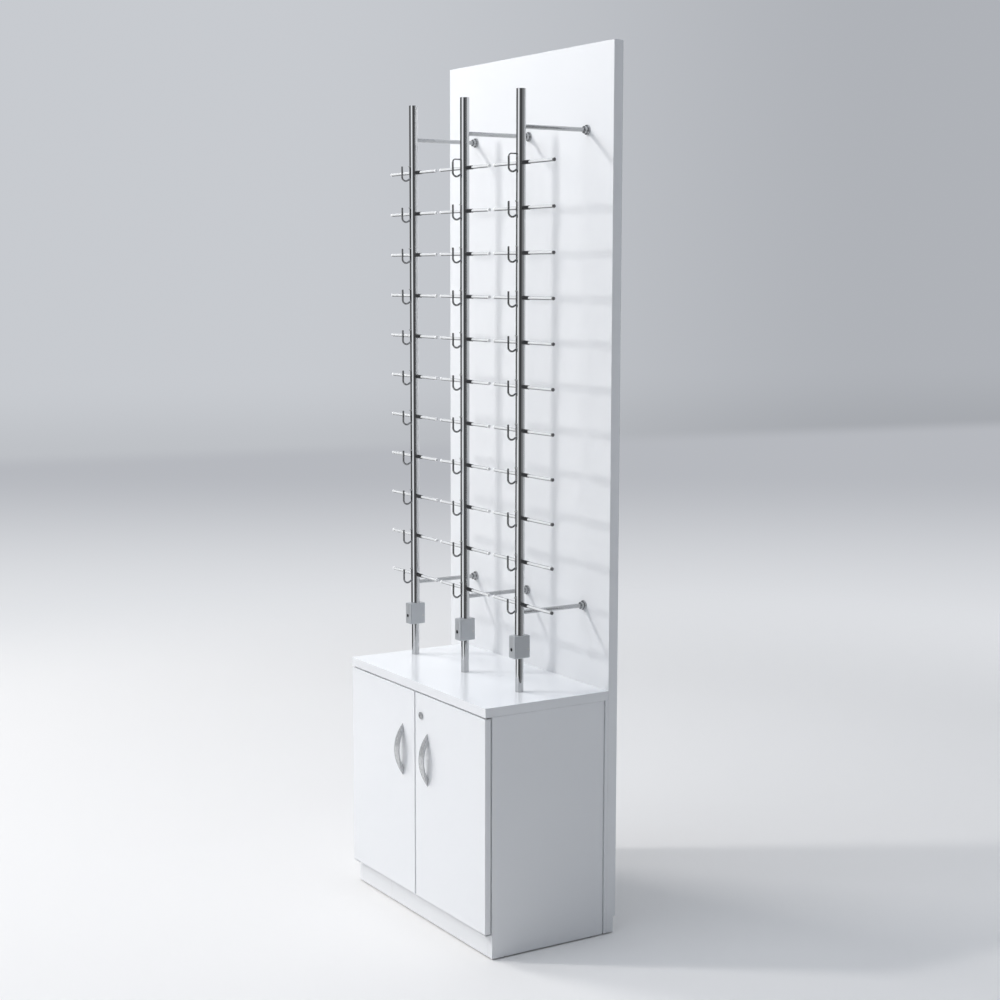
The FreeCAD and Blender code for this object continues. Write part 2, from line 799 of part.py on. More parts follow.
def slanted_slot(x, pin_z):
    """The slot that turns the bar's lift into the pin's travel."""
    radius = peg_radius + peg_clearance
    start = (peg_y, pin_z)
    end = (-peg_y, pin_z - bar_travel)
    length = math.hypot(pin_travel, bar_travel)
    side_y, side_z = bar_travel / length * radius, -pin_travel / length * radius
    corners = [(start[0] + side_y, start[1] + side_z), (end[0] + side_y, end[1] + side_z),
               (end[0] - side_y, end[1] - side_z), (start[0] - side_y, start[1] - side_z)]
    points = [at(x, column_y + y, z) for y, z in corners + corners[:1]]
    across = bar_x1 + cut_overrun
    body = Part.Face(Part.makePolygon(points)).extrude(FreeCAD.Vector(across, 0, 0))
    ends = [rod(2 * radius, across, at(x, column_y + y, z), ALONG_X) for y, z in (start, end)]
    return body.fuse(ends)


def locking_bar(x, is_looped):
    """A flat bar with a slanted slot for each pin and, at its foot, a lug with the crank's slot."""
    lug_z = barrel_z - bar_travel / 2
    top_z = row_zs[-1] + hook_tip_above_arm + bar_above_top_pin
    strip = block(x + bar_x0, x + bar_x1, column_y - bar_half_width, column_y + bar_half_width,
                  lug_z - lug_half_height, top_z)
    lug_y0 = column_y - bar_half_width
    lug = block(x + bar_x0, x + lug_reach, lug_y0, lug_y0 + lug_thickness,
                lug_z - lug_half_height, lug_z + lug_half_height)
    level_x = crank_radius * math.cos(math.radians(crank_swing / 2))
    slot_x0 = level_x - crank_pin_diameter / 2 - crank_slot_end_play
    slot_half = crank_pin_diameter / 2 + crank_slot_play
    crank_slot = block(x + slot_x0, x + crank_slot_end, lug_y0 - cut_overrun,
                       lug_y0 + lug_thickness + cut_overrun, lug_z - slot_half, lug_z + slot_half)
    rows = row_zs[:-1] if is_looped else row_zs
    slots = [slanted_slot(x, z + hook_tip_above_arm) for z in rows]
    return strip.fuse(lug).removeSplitter().cut(slots + [crank_slot])


# Lock boxes, their covers and key barrels

chamber_z0 = box_z0 + lock_box_floor
chamber_z1 = box_z1 - lock_box_top_wall


def lock_box(x):
    half_w, half_d = lock_box_width / 2, lock_box_depth / 2
    body = block(x - half_w, x + half_w, column_y - half_d, column_y + half_d, box_z0, box_z1)
    body = rounded(body, lock_box_corner_radius, lambda edge: is_along(edge, ALONG_Z))
    level = (box_z0, box_z1)
    body = rounded(body, lock_box_edge_round,
                   lambda edge: edge.BoundBox.ZLength < 0.01 and round(edge.BoundBox.ZMin, 3) in level)
    chamber = block(x - chamber_half_width, x + chamber_half_width,
                    column_y - half_d + lock_box_front_wall, column_y + half_d + cut_overrun,
                    chamber_z0, chamber_z1)
    tube_hole = rod(tube_diameter, lock_box_top_wall, at(x, column_y, chamber_z1), ALONG_Z)
    post_hole = rod(post_diameter, lock_box_floor, at(x, column_y, box_z0), ALONG_Z)
    barrel_hole = rod(barrel_diameter + 2 * barrel_clearance, lock_box_front_wall + 2 * cut_overrun,
                      at(x, column_y - half_d - cut_overrun, barrel_z), ALONG_Y)
    return body.cut([chamber, tube_hole, post_hole, barrel_hole, box_screw(x)])


def lock_box_cover(x):
    """The plate that closes the chamber from behind, with a block for the side screw."""
    half_w = chamber_half_width
    rear_y = column_y + lock_box_depth / 2 - box_cover_set_in
    plate = block(x - half_w, x + half_w, rear_y - box_cover_thickness, rear_y, chamber_z0, chamber_z1)
    nut_half = box_screw_diameter / 2 + box_nut_wall
    nut = block(x + half_w - box_screw_length, x + half_w, column_y + box_screw_behind_axis - nut_half,
                rear_y - box_cover_thickness, barrel_z - nut_half, barrel_z + nut_half)
    return plate.fuse(nut).removeSplitter().cut(box_screw(x))


def box_screw(x):
    outer_x = x + lock_box_width / 2
    y = column_y + box_screw_behind_axis
    shank = rod(box_screw_diameter, box_screw_length, at(outer_x - box_screw_length, y, barrel_z), ALONG_X)
    head = rod(box_screw_head_diameter, box_screw_head_height,
               at(outer_x - box_screw_head_height, y, barrel_z), ALONG_X)
    return shank.fuse(head).removeSplitter()


def key_barrel(x):
    """The key barrel: a boss through the box's front, a disc behind it and an offset crank pin."""
    face_y = column_y - lock_box_depth / 2
    disc_y = face_y + lock_box_front_wall + disc_wall_gap
    disc_r = crank_radius + crank_pin_diameter / 2 + disc_rim
    boss = rod(barrel_diameter, disc_y - face_y + barrel_proud, at(x, face_y - barrel_proud, barrel_z), ALONG_Y)
    disc = rod(2 * disc_r, disc_thickness, at(x, disc_y, barrel_z), ALONG_Y)
    angle = math.radians(barrel_rest_angle)
    pin_x, pin_z = x + crank_radius * math.cos(angle), barrel_z + crank_radius * math.sin(angle)
    pin_end_y = column_y - bar_half_width + lug_thickness + crank_pin_overrun
    crank = rod(crank_pin_diameter, pin_end_y - disc_y - disc_thickness,
                at(pin_x, disc_y + disc_thickness, pin_z), ALONG_Y)
    slot = key_slot(x, face_y - barrel_proud, barrel_z)
    return boss.fuse([disc, crank]).removeSplitter().cut(slot)


# Standoffs

def standoff_rods():
    solids = []
    for x in column_xs:
        for z in standoff_zs():
            start_y = column_y + bore_r
            body = rod(standoff_diameter, panel_front_y - start_y, at(x, start_y, z), ALONG_Y)
            stud = rod(standoff_stud_diameter, standoff_stud_length, at(x, panel_front_y, z), ALONG_Y)
            solids.append(body.fuse(stud).removeSplitter())
    return solids


def standoff_rings(outer, length, rear_y, edge_round):
    solids = []
    for x in column_xs:
        for z in standoff_zs():
            start = at(x, rear_y - length, z)
            body = rod(outer, length, start, ALONG_Y)
            front = min(end_circles(body), key=lambda edge: edge.BoundBox.YMin)
            body = body.makeFillet(edge_round, [front])
            solids.append(body.cut(rod(standoff_diameter, length, start, ALONG_Y)))
    return solids


def main():
    os.makedirs("parts", exist_ok=True)

    save("left_side_panel", side_panel(True))
    save("right_side_panel", side_panel(False))
    save("bottom_panel", bottom_panel())
    save("plinth_board", plinth_board())
    save("cabinet_back_board", back_board())
    save("worktop", worktop())
    save("shelf", shelf())
    save("shelf_pins", shelf_pins(True) + shelf_pins(False))
    save("levelling_glides", glides())
    save("tall_back_panel", tall_panel())
    save("panel_screws", panel_screws())
    save("hinge_plates", hinge_plates())
    save("hinge_pins", hinge_pins())
    save("catch_magnets", catch_magnets())
    save("lock_strike", lock_strike())

    for side, is_left in (("left", True), ("right", False)):
        save(side + "_door", door(is_left))
        save(side + "_hinge_bushes", hinge_bushes(is_left))
        save(side + "_door_handle", handle(is_left))
        save(side + "_handle_screws", handle_screws(is_left))
        save(side + "_catch_plate", catch_plate(is_left))
    save("door_lock_housing", lock_housing())
    save("door_lock_plug", lock_plug())
    save("door_lock_cam", lock_cam())

    for index, (name, x) in enumerate(zip(column_names, column_xs)):
        is_looped = index in closed_loop_columns
        save(name + "_post", post(x))
        save(name + "_tube", tube(x, is_looped))
        save(name + "_hooks", [hook(x, z, is_looped and z == row_zs[-1]) for z in row_zs])
        save(name + "_arms", arms(x))
        save(name + "_lock_box", lock_box(x))
        save(name + "_locking_bar", locking_bar(x, is_looped))
        save(name + "_closing_pins", closing_pins(x, is_looped))
        save(name + "_key_barrel", key_barrel(x))
    save("post_bolts", [post_bolt(x) for x in column_xs])
    save("column_caps", [column_cap(x) for x in column_xs])
    save("arm_collars", collars())
    save("lock_box_covers", [lock_box_cover(x) for x in column_xs])
    save("lock_box_screws", [box_screw(x) for x in column_xs])

    nut_rear_y = panel_front_y - standoff_flange_thickness
    save("standoff_rods", standoff_rods())
    save("standoff_flanges", standoff_rings(standoff_flange_diameter, standoff_flange_thickness, panel_front_y,
                                            standoff_flange_round))
    save("standoff_nuts", standoff_rings(standoff_nut_diameter, standoff_nut_length, nut_rear_y,
                                         standoff_nut_round))


main()
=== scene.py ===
import math

import bmesh
import bpy
from mathutils import Matrix, Vector


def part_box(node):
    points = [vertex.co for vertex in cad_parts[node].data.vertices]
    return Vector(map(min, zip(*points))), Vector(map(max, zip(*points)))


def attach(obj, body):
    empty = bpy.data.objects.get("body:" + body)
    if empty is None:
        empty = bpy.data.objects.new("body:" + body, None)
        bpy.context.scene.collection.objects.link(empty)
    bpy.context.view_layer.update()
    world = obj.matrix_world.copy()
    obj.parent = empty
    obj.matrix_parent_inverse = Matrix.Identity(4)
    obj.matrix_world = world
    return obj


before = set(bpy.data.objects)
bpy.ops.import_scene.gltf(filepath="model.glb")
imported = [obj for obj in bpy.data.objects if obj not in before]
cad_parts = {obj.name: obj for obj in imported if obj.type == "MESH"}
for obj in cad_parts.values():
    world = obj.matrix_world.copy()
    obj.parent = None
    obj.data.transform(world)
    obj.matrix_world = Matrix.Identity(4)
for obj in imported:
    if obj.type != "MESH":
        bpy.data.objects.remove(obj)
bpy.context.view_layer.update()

# Lengths are in metres and turns in degrees, unless a line turns them into radians.
# Colours are linear, and "blue" is the share by which a grey leans to blue.

X, Y, Z = 0, 1, 2
COLUMNS = ("left", "middle", "right")
CABINET_BOARDS = ("left_side_panel", "right_side_panel", "bottom_panel", "plinth_board",
                  "cabinet_back_board", "worktop", "shelf", "tall_back_panel",
                  "left_door", "right_door")


# Node helpers

MIX_FACTOR, MIX_A, MIX_B, MIX_RESULT = 0, 6, 7, 2  # a Mix node's sockets for colours
NOISE_LOW, NOISE_HIGH = 0.3, 0.7  # where most of a noise texture's values lie
RIM_SAMPLES, RIM_NONE, RIM_FULL = 4, 0.995, 0.8  # a flat face's cosine is 1


class Tree:
    """Adds and joins the nodes of one material or world."""

    def __init__(self, owner, empty=False):
        owner.use_nodes = True
        self.tree = owner.node_tree
        if empty:
            self.tree.nodes.clear()

    def node(self, kind, **settings):
        made = self.tree.nodes.new(kind)
        for key, value in settings.items():
            setattr(made, key, value)
        return made

    def link(self, source, target):
        """Joins a node's output to the target socket, or sets the socket to a plain value."""
        if isinstance(source, (int, float, tuple)):
            target.default_value = source
        else:
            self.tree.links.new(source, target)

    def math(self, operation, a, b=0.0, clamp=False):
        made = self.node("ShaderNodeMath", operation=operation, use_clamp=clamp)
        self.link(a, made.inputs[0])
        self.link(b, made.inputs[1])
        return made.outputs[0]

    def dot(self, a, b):
        made = self.node("ShaderNodeVectorMath", operation="DOT_PRODUCT")
        self.link(a, made.inputs[0])
        self.link(b, made.inputs[1])
        return made.outputs["Value"]

    def blend(self, factor, first, second):
        """The first shader where factor is 0 and the second where it is 1."""
        made = self.node("ShaderNodeMixShader")
        for index, source in enumerate((factor, first, second)):
            self.link(source, made.inputs[index])
        return made.outputs[0]


class Shader(Tree):
    """A new material, built round its Principled shader."""

    def __init__(self, name, **values):
        self.material = bpy.data.materials.new(name)
        super().__init__(self.material)
        self.bsdf = next(n for n in self.tree.nodes if n.type == "BSDF_PRINCIPLED")
        for key, value in values.items():
            self.bsdf.inputs[key.replace("_", " ")].default_value = value
        self.place = self.node("ShaderNodeTexCoord").outputs["Object"]

    def set(self, name, source):
        self.link(source, self.bsdf.inputs[name])

    def span(self, value, low, high, to_low=0.0, to_high=1.0):
        """A smooth step: to_low up to low, and to_high from high on."""
        made = self.node("ShaderNodeMapRange", interpolation_type="SMOOTHSTEP")
        self.link(value, made.inputs["Value"])
        numbers = {"From Min": low, "From Max": high, "To Min": to_low, "To Max": to_high}
        for key, number in numbers.items():
            made.inputs[key].default_value = number
        return made.outputs["Result"]

    def vary(self, noise, to_low, to_high):
        """A noise texture spread over the range given."""
        return self.span(noise, NOISE_LOW, NOISE_HIGH, to_low, to_high)

    def mix(self, factor, a, b):
        made = self.node("ShaderNodeMix", data_type="RGBA")
        self.link(factor, made.inputs[MIX_FACTOR])
        self.link(a, made.inputs[MIX_A])
        self.link(b, made.inputs[MIX_B])
        return made.outputs[MIX_RESULT]

    def noise(self, scale, detail=3.0, roughness=0.5, stretch=(1, 1, 1)):
        mapping = self.node("ShaderNodeMapping")
        mapping.inputs["Scale"].default_value = stretch
        self.link(self.place, mapping.inputs["Vector"])
        made = self.node("ShaderNodeTexNoise")
        self.link(mapping.outputs[0], made.inputs["Vector"])
        made.inputs["Scale"].default_value = scale
        made.inputs["Detail"].default_value = detail
        made.inputs["Roughness"].default_value = roughness
        return made.outputs["Fac"]

    def part(self, vector, index):
        """One of a vector's three numbers."""
        split = self.node("ShaderNodeSeparateXYZ")
        self.link(vector, split.inputs[0])
        return split.outputs[index]

    def axis(self, index):
        return self.part(self.place, index)

    def normal(self):
        return self.node("ShaderNodeNewGeometry").outputs["Normal"]

    def bump(self, height, strength, distance):
        made = self.node("ShaderNodeBump")
        made.inputs["Strength"].default_value = strength
        made.inputs["Distance"].default_value = distance
        self.link(height, made.inputs["Height"])
        self.set("Normal", made.outputs[0])

    def rim(self, radius):
        """About 1 on edges sharper than radius and 0 on flat faces."""
        bevel = self.node("ShaderNodeBevel", samples=RIM_SAMPLES)
        bevel.inputs["Radius"].default_value = radius
        return self.span(self.dot(bevel.outputs[0], self.normal()), RIM_NONE, RIM_FULL)


def grey(value, blue=0.0):
    return (value * (1 - blue), value, value * (1 + blue), 1.0)


# Materials

LAMINATE_TONES = (0.845, 0.858, 0.875, 1), (0.862, 0.872, 0.887, 1)
SEAM_TONE, DIRT_TONE = (0.52, 0.53, 0.55, 1), (0.47, 0.465, 0.45, 1)
SEAM_SHARE, SCUFF_SHARE, WEAR_SHARE = 0.3, 0.16, 0.1
SEAM_INSET, SEAM_PALE, SEAM_DARK = 0.0012, 0.00022, 0.00008
WEAR_FROM, WEAR_FULL = 0.0016, 0.0003
SCUFF_HEIGHT = 0.11


def board_material(node, roughness):
    """White laminate: a hairline round each face, where the edge band ends, and light scuffs."""
    low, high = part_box(node)
    s = Shader("laminate_" + node, IOR=1.5, Specular_IOR_Level=0.5)
    distances = []
    for index in (X, Y, Z):
        to_low = s.math("SUBTRACT", s.axis(index), low[index])
        to_high = s.math("SUBTRACT", high[index], s.axis(index))
        distances.append(s.math("MINIMUM", to_low, to_high))
    # The middle one of the three is the distance to the board's nearest edge
    x, y, z = distances
    lesser, greater = s.math("MINIMUM", x, y), s.math("MAXIMUM", x, y)
    to_edge = s.math("MAXIMUM", lesser, s.math("MINIMUM", greater, z))
    off_seam = s.math("ABSOLUTE", s.math("SUBTRACT", to_edge, SEAM_INSET))
    seam = s.span(off_seam, SEAM_PALE, SEAM_DARK)
    tone = s.mix(s.noise(2.5), *LAMINATE_TONES)
    tone = s.mix(s.math("MULTIPLY", seam, SEAM_SHARE), tone, SEAM_TONE)
    near_floor = s.span(s.axis(Z), SCUFF_HEIGHT, 0.0)
    scratches = s.noise(55.0, detail=6.0, roughness=0.7, stretch=(1, 1, 0.3))
    scuff = s.math("MULTIPLY", s.span(scratches, 0.6, 0.72), near_floor)
    nicks = s.span(s.noise(70.0, detail=4.0), 0.56, 0.68)
    wear = s.math("MULTIPLY", s.span(to_edge, WEAR_FROM, WEAR_FULL), nicks)
    dirt = s.math("MAXIMUM", s.math("MULTIPLY", scuff, SCUFF_SHARE),
                  s.math("MULTIPLY", wear, WEAR_SHARE))
    s.set("Base Color", s.mix(dirt, tone, DIRT_TONE))
    wipes = s.noise(6.0, stretch=(1, 1, 0.4))
    wiped = s.vary(wipes, roughness - 0.015, roughness + 0.02)
    s.set("Roughness", s.math("ADD", wiped, s.math("MULTIPLY", dirt, 0.5)))
    pores = s.math("SUBTRACT", s.noise(1300.0, detail=2.0), s.math("MULTIPLY", seam, 2.0))
    s.bump(pores, strength=0.05, distance=0.0002)
    return s.material


def chrome_material(name, tone):
    """Bright plate with a faint cloudiness, wipe marks and hairline scratches."""
    s = Shader(name, Metallic=1.0)
    cloud = s.noise(30.0, detail=4.0)
    smear = s.noise(120.0, detail=5.0, roughness=0.7, stretch=(1, 1, 0.12))
    smear = s.math("MULTIPLY", s.span(smear, 0.5, 0.75), 0.07)
    s.set("Base Color", s.mix(cloud, grey(tone * 0.95, blue=0.012), grey(tone * 1.05, blue=0.01)))
    s.set("Roughness", s.math("ADD", s.vary(cloud, 0.05, 0.09), smear))
    s.bump(s.noise(900.0, detail=2.0, stretch=(1, 1, 0.03)), strength=0.03, distance=0.0002)
    return s.material


SATIN_BLUE = 0.015


def satin_metal(name, tone, roughness, stretch, metallic=1.0):
    """Brushed metal: fine lines along one direction, and edges worn smoother, with a painted
    highlight that makes them paler.
    """
    s = Shader(name, Metallic=metallic)
    lines = s.noise(700.0, roughness=0.6, stretch=stretch)
    cloud = s.noise(45.0, detail=4.0)
    mottle = s.math("MULTIPLY", s.math("ADD", lines, cloud), 0.5)
    base = s.mix(mottle, grey(tone * 0.88, SATIN_BLUE), grey(tone * 1.08, SATIN_BLUE))
    # Edges: a painted highlight makes them paler, and wear makes them smoother
    edge = s.math("MULTIPLY", s.rim(radius=0.0007), 0.5)
    s.set("Base Color", s.mix(edge, base, grey(min(0.9, tone * 1.35), SATIN_BLUE)))
    brushed = s.vary(lines, roughness - 0.05, roughness + 0.08)
    s.set("Roughness", s.math("SUBTRACT", brushed, s.math("MULTIPLY", edge, 0.1)))
    s.bump(lines, strength=0.08, distance=0.0003)
    return s.material


def silver_paint():
    """The lock boxes' silver paint: fine flakes, a slight texture, and paler edges, worn in
    patches, with a painted highlight all along them.
    """
    s = Shader("silver_paint", Metallic=0.45)
    flakes = s.noise(1500.0, detail=1.0)
    cloud = s.noise(60.0, detail=4.0)
    base = s.mix(flakes, grey(0.48, blue=0.035), grey(0.62, blue=0.03))
    base = s.mix(s.math("MULTIPLY", cloud, 0.15), base, grey(0.44, blue=0.03))
    # Paler edges: worn paint in patches, and a painted highlight all along them
    worn_edge_sheen = s.math("MULTIPLY", s.rim(radius=0.001), s.span(s.noise(160.0), 0.4, 0.65, 0.1, 0.6))
    s.set("Base Color", s.mix(worn_edge_sheen, base, grey(0.93, blue=0.01)))
    s.set("Roughness", s.vary(cloud, 0.3, 0.38))
    s.bump(s.noise(1100.0, detail=2.0), strength=0.12, distance=0.0003)
    return s.material


CLEAR_TONES = (0.93, 0.945, 0.95, 1), (0.97, 0.98, 0.98, 1)
# Painted shade on the rods' undersides, and a painted dark reflection along their tops
PAINTED_UNDERSIDE_SHADE, PAINTED_TOP_REFLECTION, PAINTED_TOP_REFLECTION_SHARE = grey(0.16, blue=0.03), grey(0.34, blue=0.03), 0.8
UNDER_FROM, UNDER_FULL = -0.25, -0.7  # the height of the surface's normal
TOP_FROM, TOP_FULL = 0.65, 0.95
# Ends whitened near the end: partly frost, partly a painted glow
FROST_GLOW_TONE, FROST_GLOW_SHARE, DARK_END_TONE = grey(0.95), 0.7, grey(0.16)
FROST_GLOW_FROM, FROST_GLOW_FULL = 0.008, 0.002  # from a rod's end
# The right column's rods are darker and opaque over their last few millimetres
DARK_END_FROM, DARK_END_FULL = 0.0045, 0.004
CLEAR_TRANSMISSION, FROST_TRANSMISSION = 0.3, 0.1


def acrylic_material(column):
    """Clear rods with painted shade below and a painted dark reflection along the top; sawn ends,
    frosty white near the end, partly a painted glow; the right column's rods darker at their far
    end.
    """
    low, high = (corner[X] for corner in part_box(column + "_arms"))
    s = Shader("acrylic_" + column, IOR=1.49)
    x = s.axis(X)
    frost_glow = s.math("MAXIMUM", s.span(x, low + FROST_GLOW_FROM, low + FROST_GLOW_FULL),
                     s.span(x, high - FROST_GLOW_FROM, high - FROST_GLOW_FULL))
    # darker and opaque at the right column's far end
    dark_end = s.span(x, high - DARK_END_FROM, high - DARK_END_FULL) if column == "right" else 0.0
    upward = s.part(s.normal(), Z)
    tone = s.mix(s.noise(25.0, detail=2.0), *CLEAR_TONES)
    # painted shade below and a painted dark reflection on top, set by which way the surface faces
    tone = s.mix(s.span(upward, UNDER_FROM, UNDER_FULL), tone, PAINTED_UNDERSIDE_SHADE)
    tone = s.mix(s.span(upward, TOP_FROM, TOP_FULL, 0.0, PAINTED_TOP_REFLECTION_SHARE), tone, PAINTED_TOP_REFLECTION)
    # whiter ends: partly frost, partly a painted glow
    tone = s.mix(s.math("MULTIPLY", frost_glow, FROST_GLOW_SHARE), tone, FROST_GLOW_TONE)
    s.set("Base Color", s.mix(dark_end, tone, DARK_END_TONE))
    clear = s.span(frost_glow, 0.0, 1.0, CLEAR_TRANSMISSION, FROST_TRANSMISSION)
    s.set("Transmission Weight", s.math("SUBTRACT", clear, dark_end, clamp=True))
    haze = s.noise(180.0, detail=5.0, roughness=0.7, stretch=(0.15, 1, 1))
    haze = s.span(haze, 0.45, 0.8, 0.012, 0.05)
    s.set("Roughness", s.math("ADD", haze, s.math("MULTIPLY", frost_glow, 0.4)))
    saw_marks = s.math("MULTIPLY", s.noise(1200.0, detail=2.0), frost_glow)
    s.bump(saw_marks, strength=0.1, distance=0.0002)
    return s.material


def plastic_material(name, tones, roughness, grain):
    """Moulded plastic with a fine grain, and paler edges: partly wear, partly a painted sheen."""
    s = Shader(name, IOR=1.5)
    cloud = s.noise(80.0, detail=4.0)
    # Paler edges: partly wear, partly a painted sheen
    worn_edge_sheen = tuple(min(1.0, c * 1.5 + 0.02) for c in tones[1][:3]) + (1.0,)
    edge = s.math("MULTIPLY", s.rim(radius=0.0006), 0.3)
    s.set("Base Color", s.mix(edge, s.mix(cloud, *tones), worn_edge_sheen))
    s.set("Roughness", s.vary(cloud, roughness - 0.06, roughness + 0.08))
    s.bump(s.noise(1400.0, roughness=0.6), strength=grain, distance=0.0003)
    return s.material


ZINC_TONES = (0.47, 0.47, 0.455, 1), (0.66, 0.66, 0.645, 1)
SPANGLE_TONE, SPANGLE_SCALE, SPANGLE_SHARE = (0.74, 0.74, 0.72, 1), 260.0, 0.5


def zinc_material():
    """Zinc-plated steel: mottled grey with a warm tinge."""
    s = Shader("zinc_steel", Metallic=1.0)
    spangle = s.node("ShaderNodeTexVoronoi")
    spangle.inputs["Scale"].default_value = SPANGLE_SCALE
    s.link(s.place, spangle.inputs["Vector"])
    cloud = s.noise(70.0, detail=5.0, roughness=0.6)
    grains = s.math("MULTIPLY", spangle.outputs["Distance"], SPANGLE_SHARE)
    s.set("Base Color", s.mix(grains, s.mix(cloud, *ZINC_TONES), SPANGLE_TONE))
    s.set("Roughness", s.vary(cloud, 0.24, 0.42))
    s.bump(s.noise(600.0), strength=0.06, distance=0.0003)
    return s.material


LINES_ALONG_Y, LINES_ALONG_Z, NO_LINES = (1, 0.03, 1), (1, 1, 0.04), (1, 1, 1)
BLACK_TONES = (0.010, 0.010, 0.011, 1), (0.022, 0.022, 0.024, 1)
WHITE_TONES = (0.72, 0.73, 0.74, 1), (0.8, 0.81, 0.82, 1)
NYLON_TONES = (0.3, 0.3, 0.31, 1), (0.4, 0.4, 0.41, 1)
ENAMEL_TONES = (0.76, 0.77, 0.78, 1), (0.82, 0.83, 0.84, 1)
WORKTOP_ROUGHNESS, BOARD_ROUGHNESS = 0.17, 0.3

chrome = chrome_material("chrome", tone=0.56)
hook_wire = chrome_material("hook_wire", tone=0.25)
rod_plate = satin_metal("rod_plate", tone=0.48, roughness=0.24, stretch=LINES_ALONG_Y)
nickel = satin_metal("satin_nickel", tone=0.56, roughness=0.24, stretch=LINES_ALONG_Z,
                     metallic=0.35)
# Near-black key barrels: a black finish, partly painted shade standing in for the dark keyholes
black_nickel_and_keyhole_shade = satin_metal("black_nickel_and_keyhole_shade", tone=0.03, roughness=0.3, stretch=NO_LINES)
silver = silver_paint()
zinc = zinc_material()
black = plastic_material("black_plastic", BLACK_TONES, roughness=0.42, grain=0.1)
white_plastic = plastic_material("white_plastic", WHITE_TONES, roughness=0.45, grain=0.06)
nylon = plastic_material("grey_nylon", NYLON_TONES, roughness=0.5, grain=0.08)
white_enamel = plastic_material("white_enamel", ENAMEL_TONES, roughness=0.32, grain=0.03)


def each(*kinds):
    """The nodes of these kinds in all three columns."""
    return tuple(column + "_" + kind for column in COLUMNS for kind in kinds)


PAINTED = (
    (chrome, each("post", "tube") + ("column_caps",)),
    (hook_wire, each("hooks")),
    (silver, each("lock_box") + ("lock_box_covers",)),
    (black_nickel_and_keyhole_shade, each("key_barrel")),
    (rod_plate, ("standoff_rods", "standoff_flanges", "standoff_nuts",
                 "door_lock_housing", "door_lock_plug")),
    (nickel, ("left_door_handle", "right_door_handle")),
    (zinc, each("locking_bar", "closing_pins") + (
        "shelf_pins", "panel_screws", "hinge_pins", "post_bolts", "lock_box_screws",
        "lock_strike", "left_handle_screws", "right_handle_screws", "left_catch_plate",
        "right_catch_plate", "door_lock_cam")),
    (white_enamel, ("hinge_plates",)),
    (black, ("arm_collars",)),
    (nylon, ("levelling_glides", "left_hinge_bushes", "right_hinge_bushes")),
    (white_plastic, ("catch_magnets",)),
)


def paint(name, material):
    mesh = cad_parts[name].data
    mesh.materials.clear()
    mesh.materials.append(material)


for material, names in PAINTED:
    for name in names:
        paint(name, material)
for board in CABINET_BOARDS:
    roughness = WORKTOP_ROUGHNESS if board == "worktop" else BOARD_ROUGHNESS
    paint(board, board_material(board, roughness))
for column in COLUMNS:
    paint(column + "_arms", acrylic_material(column))


# Softer edges on the carried-over solids

SMOOTH_ANGLE, BEVEL_ANGLE = math.radians(30), math.radians(35)
BEVEL_SEGMENTS = 2
BEVEL_WIDTHS = {
    "bottom_panel": 0.0004, "plinth_board": 0.0004, "lock_strike": 0.0003, "door_lock_cam": 0.0003,
    "hinge_plates": 0.0002, "left_door_handle": 0.0005, "right_door_handle": 0.0005}

for name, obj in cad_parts.items():
    obj.data.shade_smooth()
    obj.data.set_sharp_from_angle(angle=SMOOTH_ANGLE)
    if name in BEVEL_WIDTHS:
        bevel = obj.modifiers.new("edges", "BEVEL")
        bevel.width = BEVEL_WIDTHS[name]
        bevel.segments = BEVEL_SEGMENTS
        bevel.limit_method = "ANGLE"
        bevel.angle_limit = BEVEL_ANGLE
        bevel.harden_normals = True


def add_object(name, data):
    obj = bpy.data.objects.new(name, data)
    bpy.context.collection.objects.link(obj)
    return obj


# Small pieces that the solids leave out

FACE_RISE, FACE_SIDES = 0.0006, 32
FACE_PROFILE = ((0.98, 0.0), (0.98, 0.5), (0.9, 0.85), (0.6, 1.0))  # shares of radius and rise
RECESS_WIDE, RECESS_REACH = 0.1, 0.46  # shares of the radius
RECESS_FOOT = Vector((0.85, 0.85, 0.1))  # the recess's bottom as a share of its rim


def screw_face(name, place, outward, diameter, body):
    """A low, domed screw face with a cross recess, laid on a plain screw head."""
    radius = diameter / 2
    wide, reach = radius * RECESS_WIDE, radius * RECESS_REACH
    turns = [2 * math.pi * i / FACE_SIDES for i in range(FACE_SIDES)]
    bm = bmesh.new()
    rings = []
    for share, height in FACE_PROFILE:
        out, up = radius * share, FACE_RISE * height
        rings.append([bm.verts.new((out * math.cos(turn), out * math.sin(turn), up))
                      for turn in turns])
    for lower, upper in zip(rings, rings[1:]):
        for i in range(FACE_SIDES):
            j = (i + 1) % FACE_SIDES
            bm.faces.new((lower[i], lower[j], upper[j], upper[i]))
    rim, foot = [], []
    for quarter in range(4):
        turned = Matrix.Rotation(math.pi / 2 * quarter, 3, "Z")
        for x, y in ((reach, -wide), (reach, wide), (wide, wide)):
            corner = turned @ Vector((x, y, FACE_RISE))
            rim.append(bm.verts.new(corner))
            foot.append(bm.verts.new(corner * RECESS_FOOT))
    for i in range(len(rim)):
        j = (i + 1) % len(rim)
        bm.faces.new((rim[i], rim[j], foot[j], foot[i]))
    bm.faces.new(foot)
    border = [bm.edges.get((loop[i - 1], loop[i]))
              for loop in (rings[-1], rim) for i in range(len(loop))]
    bmesh.ops.triangle_fill(bm, use_beauty=True, edges=border)
    bmesh.ops.recalc_face_normals(bm, faces=bm.faces)
    towards = Vector(outward).to_track_quat("Z", "X").to_matrix().to_4x4()
    bm.transform(Matrix.Translation(place) @ towards)
    mesh = bpy.data.meshes.new(name)
    bm.to_mesh(mesh)
    bm.free()
    mesh.materials.append(zinc)
    face = add_object(name, mesh)
    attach(face, body)


